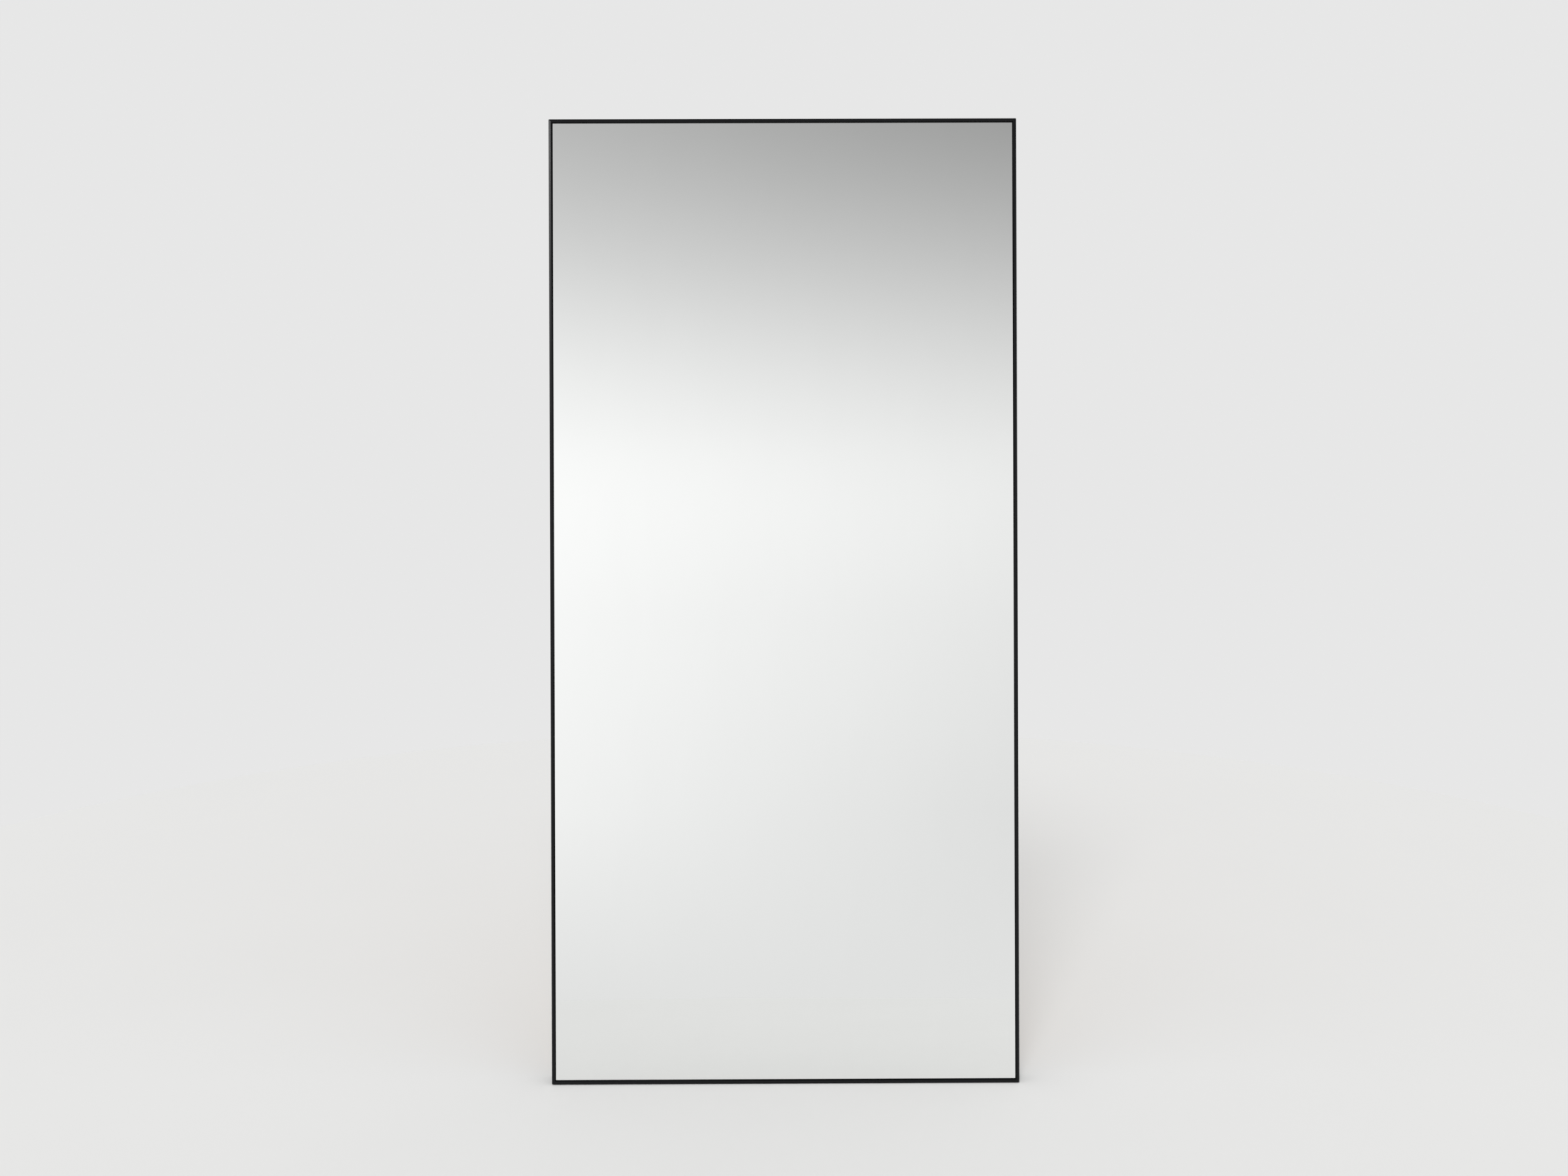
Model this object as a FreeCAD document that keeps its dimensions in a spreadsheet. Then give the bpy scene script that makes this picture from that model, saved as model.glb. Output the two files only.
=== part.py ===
import FreeCAD, Part
import os
import re
from math import cos, radians, sin

import Sketcher
from FreeCAD import Rotation, Vector

# A tall leaning floor mirror: one sheet of mirror glass in a slim black aluminium frame that
# leans back against a wall. Millimetres, +Z up, the glass faces -Y and the top leans to +Y.
# Most pieces are drawn upright, with X to the right, Y from the front of the frame to its back
# and Z from the middle of the mirror, and then they are all leaned back together.

SIZES = {
    # The whole mirror.
    "mirror_width": 914.0,
    "mirror_height": 1886.0,
    "lean_angle": 9.0,
    # The aluminium section: a crowned face, a channel for the glass, and a hollow at the back.
    "frame_depth": 44.0,
    "face_width": 6.0,
    "face_crown": 0.6,
    "straight_side": 2.5,
    "lip_depth": 2.2,
    "wall_thickness": 1.8,
    "tube_width": 22.0,
    "corner_radius": 1.6,
    # What lies in the channel, from front to back.
    "gasket_thickness": 1.2,
    "gasket_reach": 1.6,
    "gasket_rounding": 0.4,
    "glass_thickness": 5.0,
    "glass_arris": 0.5,
    "tape_thickness": 1.0,
    "tape_width": 25.0,
    "tape_count": 5,
    "tape_end_gap": 60.0,
    "board_thickness": 6.0,
    "edge_clearance": 1.5,
    "block_length": 50.0,
    "block_inset": 150.0,
    # The corner keys in the hollow of the section.
    "key_reach": 72.0,
    "key_clearance": 0.15,
    "key_screw_inset": 48.0,
    # The battens across the back.
    "batten_height": 70.0,
    "batten_thickness": 12.0,
    "batten_rounding": 2.0,
    "batten_centre": 560.0,
    "batten_end_gap": 1.5,
    "batten_screw_count": 4,
    "batten_screw_end": 90.0,
    # The angle brackets at the ends of the battens.
    "bracket_length": 34.0,
    "bracket_screw_reach": 23.0,
    "bracket_upstand": 10.0,
    "bracket_width": 26.0,
    "bracket_thickness": 1.5,
    "bracket_bend": 1.2,
    "bracket_screw_pitch": 14.0,
    # The D-ring hangers.
    "hanger_spread": 560.0,
    "hanger_drop": 8.0,
    "strap_width": 13.0,
    "strap_thickness": 1.2,
    "strap_length": 50.0,
    "strap_corner": 5.0,
    "strap_screw_first": 27.0,
    "strap_screw_pitch": 15.0,
    "ring_wire": 3.2,
    "ring_play": 0.3,
    "ring_width": 23.0,
    "ring_drop": 18.0,
    "ring_bend": 3.0,
    # Screws.
    "shank_diameter": 3.0,
    "hole_clearance": 0.3,
    "sunk_head_depth": 1.6,
    "pan_head_diameter": 6.6,
    "pan_head_height": 2.2,
    "key_screw_length": 9.0,
    "board_screw_length": 16.0,
    "short_screw_length": 9.0,
    # Threaded inserts for wall tethers, in the upper batten.
    "insert_spread": 450.0,
    "insert_bore": 4.2,
    "insert_diameter": 7.0,
    "insert_flange": 10.0,
    "insert_flange_thickness": 0.8,
    "insert_length": 11.0,
    # Rubber under the frame and on its back.
    "pad_thickness": 1.0,
    "pad_length": 80.0,
    "pad_width": 24.0,
    "pad_corner": 4.0,
    "pad_inset": 70.0,
    "bumper_diameter": 14.0,
    "bumper_height": 1.2,
    "bumper_chamfer": 0.4,
    "bumper_inset": 96.0,
}

# Places and fits that follow from the sizes above. Depths are measured from the front.
FITS = {
    "half_width": "mirror_width / 2",
    "half_height": "mirror_height / 2",
    # The outer side slopes in toward the back by the lean, so the underside lies level.
    "side_draw": "(frame_depth - straight_side) * tan(lean_angle)",
    "crown_radius": "((face_width / 2)^2 + face_crown^2) / (2 * face_crown)",
    "glass_front": "lip_depth + gasket_thickness",
    "glass_back": "glass_front + glass_thickness",
    "board_front": "glass_back + tape_thickness",
    "board_back": "board_front + board_thickness",
    "chamber_front": "board_back + wall_thickness",
    "chamber_back": "frame_depth - wall_thickness",
    "chamber_side": "tube_width - wall_thickness",
    "wall_at_glass_front": "wall_thickness + (glass_front - straight_side) * tan(lean_angle)",
    "wall_at_glass_back": "wall_thickness + (glass_back - straight_side) * tan(lean_angle)",
    "wall_at_board_back": "wall_thickness + (board_back - straight_side) * tan(lean_angle)",
    "glass_edge": "wall_at_glass_back + edge_clearance",
    "board_edge": "wall_at_board_back + edge_clearance",
    "stile_inside": "half_width - tube_width",
    "back_wall_centre": "(side_draw + tube_width) / 2",
    "batten_back": "board_back + batten_thickness",
    "hinge_height": "batten_centre + batten_height / 2 - hanger_drop",
    "hinge_depth": "batten_back + strap_curl",
    "eye_radius": "ring_wire / 2 + ring_play",
    "strap_curl": "eye_radius + strap_thickness",
    "sunk_head_radius": "shank_diameter / 2 + sunk_head_depth",
    # Where the middle of the upright mirror goes once it has leaned back: the origin is midway
    # between the front of the bottom rail and the wall that the bumpers touch.
    "floor_reach": "(half_height - face_width / 2) * sin(lean_angle) + crown_radius * (1 - cos(lean_angle))",
    "bumper_top": "half_height - back_wall_centre + bumper_diameter / 2 - bumper_chamfer",
    "wall_reach": "(frame_depth + bumper_height) * cos(lean_angle) + bumper_top * sin(lean_angle)",
    "lean_back": "(floor_reach - wall_reach) / 2",
    "lean_up": "pad_thickness + straight_side * sin(lean_angle) + half_height * cos(lean_angle)",
}

doc = FreeCAD.newDocument("leaning_floor_mirror")
sheet = doc.addObject("Spreadsheet::Sheet", "Sizes")
for row, (alias, size) in enumerate(SIZES.items(), start=1):
    sheet.set(f"A{row}", alias)
    sheet.set(f"B{row}", str(size))
    sheet.setAlias(f"B{row}", alias)
doc.recompute()

sub_parts = []


def formula(text):
    """The text as an expression on the sheet, with each fit written out."""
    def spelled(found):
        word = found.group(0)
        if word in SIZES:
            return f"Sizes.{word}"
        if word in FITS:
            return f"({formula(FITS[word])})"
        return word
    return re.sub(r"[a-z][a-z_]*", spelled, text)


def number(text):
    """What a formula comes to now."""
    return float(sheet.evalExpression(formula(text)))


def bind(item, field, text):
    item.setExpression(field, formula(text))


def new_body(label):
    body = doc.addObject("PartDesign::Body", label)
    body.Label = label
    body.AllowCompound = True
    return body


def origin_item(body, role):
    """One of a body's own planes or axes."""
    return next(item for item in body.Origin.OriginFeatures if item.Role == role)


def new_sketch(body, name, plane, offset="0"):
    """A sketch on one of the body's planes, shifted along that plane's normal."""
    sketch = body.newObject("Sketcher::SketchObject", f"{body.Name}_{name}")
    sketch.AttachmentSupport = [(origin_item(body, plane), "")]
    sketch.MapMode = "FlatFace"
    bind(sketch, "AttachmentOffset.Base.z", offset)
    return sketch


def pin_point(sketch, geometry, end, across, up):
    """Fixes one end or centre of a line, arc or circle to two formulas."""
    for kind, text in (("DistanceX", across), ("DistanceY", up)):
        made = sketch.addConstraint(
            Sketcher.Constraint(kind, -1, 1, geometry, end, number(text)))
        sketch.setExpression(f"Constraints[{made}]", formula(text))


def draw_outline(sketch, steps):
    """A closed outline. A step is a corner (across, up), and a corner may be followed by
    (across, up, radius): a point that the arc to the next corner passes through."""
    corners = [step for step in steps if len(step) == 2]
    first = sketch.GeometryCount
    places = [Vector(number(across), number(up), 0) for across, up in corners]
    for index, place in enumerate(places):
        after = places[(index + 1) % len(places)]
        step = steps.index(corners[index]) + 1
        bulge = steps[step] if step < len(steps) and len(steps[step]) == 3 else None
        if bulge is None:
            sketch.addGeometry(Part.LineSegment(place, after), False)
            continue
        middle = Vector(number(bulge[0]), number(bulge[1]), 0)
        arc = sketch.addGeometry(Part.Arc(place, middle, after), False)
        radius = sketch.addConstraint(Sketcher.Constraint("Radius", arc, number(bulge[2])))
        sketch.setExpression(f"Constraints[{radius}]", formula(bulge[2]))
    for index, (across, up) in enumerate(corners):
        geometry = first + index
        ends = end_at(sketch, geometry, places[index])
        before = first + (index - 1) % len(corners)
        sketch.addConstraint(Sketcher.Constraint(
            "Coincident", before, end_at(sketch, before, places[index]), geometry, ends))
        pin_point(sketch, geometry, ends, across, up)


def round_turn(across, up, radius, first, last):
    """The steps of an arc about a centre, from one angle to another."""
    def at(angle):
        return f"{across} + ({radius}) * cos({angle})", f"{up} + ({radius}) * sin({angle})"
    return [at(first), at((first + last) / 2) + (radius,), at(last)]


def end_at(sketch, geometry, place):
    """Which end of a line or arc lies at a place: 1, its start, or 2."""
    start = sketch.getPoint(geometry, 1)
    finish = sketch.getPoint(geometry, 2)
    return 1 if start.distanceToPoint(place) <= finish.distanceToPoint(place) else 2


def draw_circles(sketch, centres, radius):
    for across, up in centres:
        centre = Vector(number(across), number(up), 0)
        circle = sketch.addGeometry(Part.Circle(centre, Vector(0, 0, 1), number(radius)), False)
        pin_point(sketch, circle, 3, across, up)
        size = sketch.addConstraint(Sketcher.Constraint("Radius", circle, number(radius)))
        sketch.setExpression(f"Constraints[{size}]", formula(radius))


def add_feature(body, kind, name, sketch, length):
    """A pad or pocket that reaches as far on both sides of its sketch."""
    feature = body.newObject(f"PartDesign::{kind}", f"{body.Name}_{name}")
    feature.Profile = sketch
    feature.SideType = "Symmetric"
    bind(feature, "Length", length)
    doc.recompute()
    return feature


def slab(body, name, front, thickness, steps):
    """Adds a flat piece that faces the front, between two depths."""
    sketch = new_sketch(body, f"{name}_outline", "XZ_Plane", f"-({front} + {thickness} / 2)")
    draw_outline(sketch, steps)
    return add_feature(body, "Pad", name, sketch, thickness)


def drill(body, name, plane, centres, radius, middle, length):
    """Cuts round holes square to a plane, centred on the distance named middle."""
    sketch = new_sketch(body, f"{name}_centres", plane, middle)
    draw_circles(sketch, centres, radius)
    return add_feature(body, "Pocket", name, sketch, length)


def soften(body, kind, name, size, chosen):
    """Rounds or chamfers the edges of the body's last feature that the test chooses."""
    base = body.Tip
    edges = [f"Edge{index}" for index, edge in enumerate(base.Shape.Edges, start=1) if chosen(edge)]
    if not edges:
        raise ValueError(f"{body.Label}: no edge for {name}")
    feature = body.newObject(f"PartDesign::{kind}", f"{body.Name}_{name}")
    feature.Base = (base, edges)
    bind(feature, "Radius" if kind == "Fillet" else "Size", size)
    doc.recompute()
    return feature


def is_round_at(edge, depth):
    """Whether an edge is a circle that lies square to Y at a depth."""
    return (isinstance(edge.Curve, Part.Circle) and abs(edge.Curve.Axis.y) > 0.99
            and abs(edge.Curve.Center.y - depth) < 1e-4)


def runs_along(edge, axis):
    """Whether an edge is straight and runs along one axis of its body."""
    if not isinstance(edge.Curve, Part.Line):
        return False
    return abs(getattr(edge.tangentAt(edge.FirstParameter), axis)) > 0.999


def mirror_across(body, name, plane, features):
    feature = body.newObject("PartDesign::Mirrored", f"{body.Name}_{name}")
    feature.Originals = features
    feature.MirrorPlane = (origin_item(body, plane), [""])
    body.Tip = feature
    doc.recompute()
    return feature


def keep(item, angle="-lean_angle", place=("0", "lean_back", "lean_up")):
    """Leans a finished sub-part back with the mirror, or sets it at a place of its own."""
    item.Placement = FreeCAD.Placement(Vector(), Rotation(Vector(1, 0, 0), -1))
    bind(item, "Placement.Rotation.Angle", angle)
    for axis, text in zip("xyz", place):
        bind(item, f"Placement.Base.{axis}", text)
    sub_parts.append(item)


def leaned_place(depth, height):
    """Where a point of the upright mirror lies once it has leaned back."""
    back = f"({depth}) * cos(lean_angle) + ({height}) * sin(lean_angle) + lean_back"
    up = f"-({depth}) * sin(lean_angle) + ({height}) * cos(lean_angle) + lean_up"
    return back, up


# The four sides of the frame. A section is drawn in (inward, depth): how far in from the outer
# edge and how far back from the front. SIDES says how that turns into each side's own sketch.

SIDES = {
    "top": ("YZ_Plane", "mirror_width", lambda inward, depth: (depth, f"half_height - ({inward})")),
    "bottom": ("YZ_Plane", "mirror_width", lambda inward, depth: (depth, f"({inward}) - half_height")),
    "left": ("XY_Plane", "mirror_height", lambda inward, depth: (f"({inward}) - half_width", depth)),
    "right": ("XY_Plane", "mirror_height", lambda inward, depth: (f"half_width - ({inward})", depth)),
}


def section_steps(side, steps):
    to_sketch = SIDES[side][2]
    return [to_sketch(step[0], step[1]) + tuple(step[2:]) for step in steps]


# How far cuts run past the metal that they take away.
SPARE = "1"


def signs(side):
    """The signs of the right-hand or top end of a side, in (across, up)."""
    return "-" if side == "left" else "", "-" if side == "bottom" else ""


def mirror_to_other_end(body, name, side, cut):
    mirror_across(body, name, "YZ_Plane" if side in ("top", "bottom") else "XY_Plane", [cut])


def mitred_length(label, side, outlines):
    """One side of the frame or its gasket: a section run along the side and mitred at its ends."""
    plane, length, _ = SIDES[side]
    body = new_body(label)
    section = new_sketch(body, "section", plane)
    for steps in outlines:
        draw_outline(section, section_steps(side, steps))
    add_feature(body, "Pad", "run", section, length)
    across_sign, up_sign = signs(side)
    outer_across = f"{across_sign}(half_width + {SPARE})"
    outer_up = f"{up_sign}(half_height + {SPARE})"
    inner_across = f"{across_sign}(half_width - tube_width - {SPARE})"
    inner_up = f"{up_sign}(half_height - tube_width - {SPARE})"
    beyond = (outer_across, inner_up) if side in ("top", "bottom") else (inner_across, outer_up)
    mitre = new_sketch(body, "mitre_line", "XZ_Plane")
    draw_outline(mitre, [(outer_across, outer_up), beyond, (inner_across, inner_up)])
    cut = add_feature(body, "Pocket", "mitre", mitre, "4 * frame_depth")
    mirror_to_other_end(body, "other_mitre", side, cut)
    return body


def round_corners(body, side):
    """Takes the sharp tip off both ends of one side of the frame."""
    across_sign, up_sign = signs(side)

    def at(across, up):
        return f"{across_sign}(half_width + {across})", f"{up_sign}(half_height + {up})"

    diagonal = "corner_radius * (cos(45) - 1)"
    tip = new_sketch(body, "tip_outline", "XZ_Plane")
    draw_outline(tip, [
        at(SPARE, SPARE), at(SPARE, "-corner_radius"), at("0", "-corner_radius"),
        at(diagonal, diagonal) + ("corner_radius",),
        at("-corner_radius", "0"), at("-corner_radius", SPARE)])
    cut = add_feature(body, "Pocket", "tip", tip, "4 * frame_depth")
    mirror_to_other_end(body, "other_tip", side, cut)


FRAME_OUTER = [
    ("0", "face_crown"),
    ("face_width / 2", "0", "crown_radius"),
    ("face_width", "face_crown"),
    ("face_width", "lip_depth"),
    ("wall_thickness", "lip_depth"),
    ("wall_thickness", "straight_side"),
    ("wall_at_board_back", "board_back"),
    ("tube_width", "board_back"),
    ("tube_width", "frame_depth"),
    ("side_draw", "frame_depth"),
    ("0", "straight_side"),
]


def chamber(clearance):
    """The hollow at the back of the section, or the key that fits it with a clearance."""
    slope = f"wall_thickness + {clearance} - straight_side * tan(lean_angle)"
    front = f"chamber_front + {clearance}"
    back = f"chamber_back - {clearance}"
    side = f"chamber_side - {clearance}"
    return [
        (f"{slope} + ({front}) * tan(lean_angle)", front),
        (side, front),
        (side, back),
        (f"{slope} + ({back}) * tan(lean_angle)", back),
    ]


THROUGH_WALL = f"2 * (wall_thickness + {SPARE})"


def key_screw_centres(side):
    """The corner screws of one side of the frame, in (across, up): one to each leg of a key, in
    the middle of the section's back wall."""
    across_sign, up_sign = signs(side)
    if side in ("top", "bottom"):
        return [(f"{end}(half_width - key_screw_inset)", f"{up_sign}(half_height - back_wall_centre)")
                for end in ("-", "")]
    return [(f"{across_sign}(half_width - back_wall_centre)", f"{end}(half_height - key_screw_inset)")
            for end in ("-", "")]


def frame_side(label, side):
    body = mitred_length(label, side, [FRAME_OUTER, chamber("0")])
    round_corners(body, side)
    drill(body, "key_holes", "XZ_Plane", key_screw_centres(side), "shank_diameter / 2",
          "-frame_depth", THROUGH_WALL)
    soften(body, "Chamfer", "key_sinks", "sunk_head_depth",
           lambda edge: is_round_at(edge, number("frame_depth")))
    return body


for side in ("top", "bottom"):
    keep(frame_side(f"{side}_rail", side))

# The stiles take the screws of the batten brackets in the inner wall of their hollow.
BRACKET_SCREW_DEPTH = "batten_back + (bracket_thickness + bracket_bend + bracket_upstand) / 2"
BRACKET_SCREW_HEIGHTS = ["batten_centre", "-batten_centre"]

for side in ("left", "right"):
    stile = frame_side(f"{side}_stile", side)
    drill(stile, "bracket_holes", "YZ_Plane",
          [(BRACKET_SCREW_DEPTH, height) for height in BRACKET_SCREW_HEIGHTS],
          "shank_diameter / 2", f"{signs(side)[0]}stile_inside", THROUGH_WALL)
    keep(stile)


# Corner keys: cast L-shaped blocks that fill the hollow of two sides where they meet.

def corner_key(label, across_sign, up_sign):
    body = new_body(label)
    steps = [(depth, f"{up_sign}(half_height - ({inward}))") for inward, depth in chamber("key_clearance")]
    section = new_sketch(body, "section", "YZ_Plane", f"{across_sign}(half_width - key_reach)")
    draw_outline(section, steps)
    path = new_sketch(body, "path", "XZ_Plane")
    points = [("half_width - key_reach", "half_height - back_wall_centre"),
              ("half_width - back_wall_centre", "half_height - back_wall_centre"),
              ("half_width - back_wall_centre", "half_height - key_reach")]
    draw_path(path, [(f"{across_sign}({across})", f"{up_sign}({up})") for across, up in points])
    run = body.newObject("PartDesign::AdditivePipe", f"{label}_run")
    run.Profile = section
    run.Spine = (path, [f"Edge{index + 1}" for index in range(path.GeometryCount)])
    run.Transition = "Right corner"
    doc.recompute()
    holes = [(f"{across_sign}(half_width - key_screw_inset)", f"{up_sign}(half_height - back_wall_centre)"),
             (f"{across_sign}(half_width - back_wall_centre)", f"{up_sign}(half_height - key_screw_inset)")]
    drill(body, "screw_holes", "XZ_Plane", holes, "shank_diameter / 2",
          "-chamber_back", "2 * key_screw_length")
    return body


def draw_path(sketch, points):
    """An open run of straight lines through the points."""
    places = [Vector(number(across), number(up), 0) for across, up in points]
    for index in range(len(places) - 1):
        line = sketch.addGeometry(Part.LineSegment(places[index], places[index + 1]), False)
        if index:
            sketch.addConstraint(Sketcher.Constraint("Coincident", line - 1, 2, line, 1))
        pin_point(sketch, line, 1, *points[index])
    pin_point(sketch, line, 2, *points[-1])


for side, across_sign in (("left", "-"), ("right", "")):
    for level, up_sign in (("top", ""), ("bottom", "-")):
        keep(corner_key(f"corner_key_{level}_{side}", across_sign, up_sign))


# What lies in the channel, from front to back: gasket, glass, foam tapes and backing board.

def rectangle(half_across, half_up, across="0", up="0"):
    """The corners of a rectangle about a centre, which is the mirror's own unless given."""
    left, right = f"{across} - ({half_across})", f"{across} + ({half_across})"
    low, high = f"{up} - ({half_up})", f"{up} + ({half_up})"
    return [(left, low), (right, low), (right, high), (left, high)]


GASKET = [("glass_edge", "lip_depth"),
          ("glass_edge", "glass_front"),
          ("face_width + gasket_reach", "glass_front"),
          ("face_width + gasket_reach", "lip_depth + gasket_rounding"),
          ("face_width + gasket_reach - gasket_rounding", "lip_depth")]
for side in SIDES:
    keep(mitred_length(f"gasket_{side}", side, [GASKET]))

# Two rubber blocks carry the weight of the glass on the bottom rail.
SETTING_BLOCK = [("wall_at_glass_front", "glass_front"), ("glass_edge", "glass_front"),
                 ("glass_edge", "glass_back"), ("wall_at_glass_back", "glass_back")]
for side, across_sign in (("left", "-"), ("right", "")):
    block = new_body(f"setting_block_{side}")
    section = new_sketch(block, "section", "YZ_Plane", f"{across_sign}(half_width - block_inset)")
    draw_outline(section, section_steps("bottom", SETTING_BLOCK))
    add_feature(block, "Pad", "block", section, "block_length")
    keep(block)

glass = new_body("mirror_glass")
slab(glass, "sheet", "glass_front", "glass_thickness",
     rectangle("half_width - glass_edge", "half_height - glass_edge"))
soften(glass, "Chamfer", "arris", "glass_arris", lambda edge: not runs_along(edge, "y"))
keep(glass)

tapes = new_body("foam_tapes")
OUTERMOST_TAPE = "(half_width - glass_edge - tape_width)"
tape = slab(tapes, "strip", "glass_back", "tape_thickness", rectangle(
    "tape_width / 2", "half_height - board_edge - tape_end_gap", f"-{OUTERMOST_TAPE}"))
row_of_tapes = tapes.newObject("PartDesign::LinearPattern", "tape_row")
row_of_tapes.Originals = [tape]
row_of_tapes.Direction = (origin_item(tapes, "X_Axis"), [""])
bind(row_of_tapes, "Length", f"2 * {OUTERMOST_TAPE}")
bind(row_of_tapes, "Occurrences", "tape_count")
tapes.Tip = row_of_tapes
doc.recompute()
keep(tapes)


def board_screw_centres(level_sign):
    """The screws through one batten into the board, evenly along it."""
    last = round(number("batten_screw_count")) - 1
    return [(f"(half_width - batten_screw_end) * {2 * index - last} / {last}", f"{level_sign}batten_centre")
            for index in range(last + 1)]


ALL_BOARD_SCREWS = board_screw_centres("") + board_screw_centres("-")
board = new_body("backing_board")
slab(board, "sheet", "board_front", "board_thickness",
     rectangle("half_width - board_edge", "half_height - board_edge"))
drill(board, "pilot_holes", "XZ_Plane", ALL_BOARD_SCREWS, "shank_diameter / 2",
      "-board_back", "2 * (board_screw_length - batten_thickness)")
keep(board)


# Two battens stiffen the board, and brackets tie their ends to the stiles.


def hanger_screw_centres(across_sign):
    return [(f"{across_sign}hanger_spread / 2", f"hinge_height - {drop}")
            for drop in ("strap_screw_first", "(strap_screw_first + strap_screw_pitch)")]


def bracket_wood_centres(across_sign, level_sign):
    across = f"{across_sign}(stile_inside - bracket_screw_reach)"
    return [(across, f"{level_sign}batten_centre {shift} bracket_screw_pitch / 2") for shift in ("+", "-")]


INSERT_CENTRES = [("-insert_spread / 2", "batten_centre"), ("insert_spread / 2", "batten_centre")]


for level, level_sign in (("upper", ""), ("lower", "-")):
    batten = new_body(f"{level}_batten")
    slab(batten, "plank", "board_back", "batten_thickness",
         rectangle("stile_inside - batten_end_gap", "batten_height / 2", up=f"{level_sign}batten_centre"))
    soften(batten, "Fillet", "long_edges", "batten_rounding",
           lambda edge: runs_along(edge, "x") and edge.CenterOfMass.y > number("batten_back") - 1)
    drill(batten, "board_holes", "XZ_Plane", board_screw_centres(level_sign), "shank_diameter / 2",
          "-(board_back + batten_thickness / 2)", "2 * batten_thickness")
    soften(batten, "Chamfer", "board_sinks", "sunk_head_depth",
           lambda edge: is_round_at(edge, number("batten_back")))
    pilots = bracket_wood_centres("-", level_sign) + bracket_wood_centres("", level_sign)
    if level == "upper":
        pilots += hanger_screw_centres("-") + hanger_screw_centres("")
    drill(batten, "pilot_holes", "XZ_Plane", pilots, "shank_diameter / 2",
          "-batten_back", "2 * short_screw_length")
    if level == "upper":
        drill(batten, "insert_holes", "XZ_Plane", INSERT_CENTRES, "insert_diameter / 2",
              "-(board_back + batten_thickness / 2)", "2 * batten_thickness")
    keep(batten)


CLEAR_RADIUS = "shank_diameter / 2 + hole_clearance"


def bracket(label, across_sign, level_sign):
    """A bent steel angle: a long leg on the back of the batten and a short one up the stile."""
    body = new_body(label)
    corners = [
        ("stile_inside", "batten_back"),
        ("stile_inside - bracket_length", "batten_back"),
        ("stile_inside - bracket_length", "batten_back + bracket_thickness"),
        ("stile_inside - bracket_thickness", "batten_back + bracket_thickness"),
        ("stile_inside - bracket_thickness", "batten_back + bracket_upstand"),
        ("stile_inside", "batten_back + bracket_upstand")]
    section = new_sketch(body, "section", "XY_Plane", f"{level_sign}batten_centre")
    draw_outline(section, [(f"{across_sign}({across})", depth) for across, depth in corners])
    add_feature(body, "Pad", "angle", section, "bracket_width")
    inner = number("stile_inside - bracket_thickness")
    soften(body, "Fillet", "bend", "bracket_bend",
           lambda edge: runs_along(edge, "z") and abs(abs(edge.CenterOfMass.x) - inner) < 1e-3
           and edge.CenterOfMass.y < number("batten_back + bracket_thickness") + 1e-3)
    drill(body, "wood_holes", "XZ_Plane", bracket_wood_centres(across_sign, level_sign),
          CLEAR_RADIUS, "-batten_back", "4 * bracket_thickness")
    drill(body, "stile_hole", "YZ_Plane", [(BRACKET_SCREW_DEPTH, f"{level_sign}batten_centre")],
          CLEAR_RADIUS, f"{across_sign}stile_inside", "4 * bracket_thickness")
    return body


for level, level_sign in (("upper", ""), ("lower", "-")):
    for side, across_sign in (("left", "-"), ("right", "")):
        keep(bracket(f"bracket_{level}_{side}", across_sign, level_sign))


# D-ring hangers: a steel strap with its top curled into an eye, and a bent wire ring in the eye.

def hanger_strap(label, across_sign):
    body = new_body(label)
    heel = "sqrt(strap_curl^2 - (strap_curl - strap_thickness)^2)"
    section = new_sketch(body, "section", "YZ_Plane", f"{across_sign}hanger_spread / 2")
    draw_outline(section, [
        ("batten_back", "hinge_height - strap_length"),
        ("batten_back", "hinge_height"),
        ("hinge_depth + strap_curl * cos(45)", "hinge_height + strap_curl * sin(45)", "strap_curl"),
        ("batten_back + strap_thickness", f"hinge_height - {heel}"),
        ("batten_back + strap_thickness", "hinge_height - strap_length")])
    draw_circles(section, [("hinge_depth", "hinge_height")], "eye_radius")
    add_feature(body, "Pad", "strap", section, "strap_width")
    low = number("hinge_height - strap_length")
    soften(body, "Fillet", "round_end", "strap_corner",
           lambda edge: runs_along(edge, "y") and abs(edge.CenterOfMass.z - low) < 1e-3)
    drill(body, "screw_holes", "XZ_Plane", hanger_screw_centres(across_sign), CLEAR_RADIUS,
          "-batten_back", "4 * strap_thickness")
    return body


# Wire and screws are drawn with eight flat sides, because they are too slim for more to show.
EIGHTHS = range(0, 360, 45)


def d_ring(label, across_sign):
    """The ring hangs straight down from the middle of its wire in the eye, its own origin."""
    body = new_body(label)
    half = "(ring_width - ring_wire) / 2"
    low = f"-(ring_drop - {half})"
    path = new_sketch(body, "path", "XZ_Plane")
    draw_outline(path, [
        *round_turn(f"-({half} - ring_bend)", "-ring_bend", "ring_bend", 180, 90),
        *round_turn(f"{half} - ring_bend", "-ring_bend", "ring_bend", 90, 0),
        *round_turn("0", low, half, 0, -90),
        *round_turn("0", low, half, -90, -180)[1:]])
    wire = new_sketch(body, "wire", "YZ_Plane")
    draw_outline(wire, [(f"ring_wire / 2 * cos({angle})", f"ring_wire / 2 * sin({angle})")
                        for angle in EIGHTHS])
    ring = body.newObject("PartDesign::AdditivePipe", f"{label}_ring")
    ring.Profile = wire
    ring.Spine = (path, [f"Edge{index + 1}" for index in range(path.GeometryCount)])
    doc.recompute()
    return body


for side, across_sign in (("left", "-"), ("right", "")):
    keep(hanger_strap(f"hanger_strap_{side}", across_sign))
    back, up = leaned_place("hinge_depth", "hinge_height")
    keep(d_ring(f"d_ring_{side}", across_sign), "0", (f"{across_sign}hanger_spread / 2", back, up))


# Threaded inserts in the upper batten, for the tethers that keep the mirror from tipping.

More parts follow.
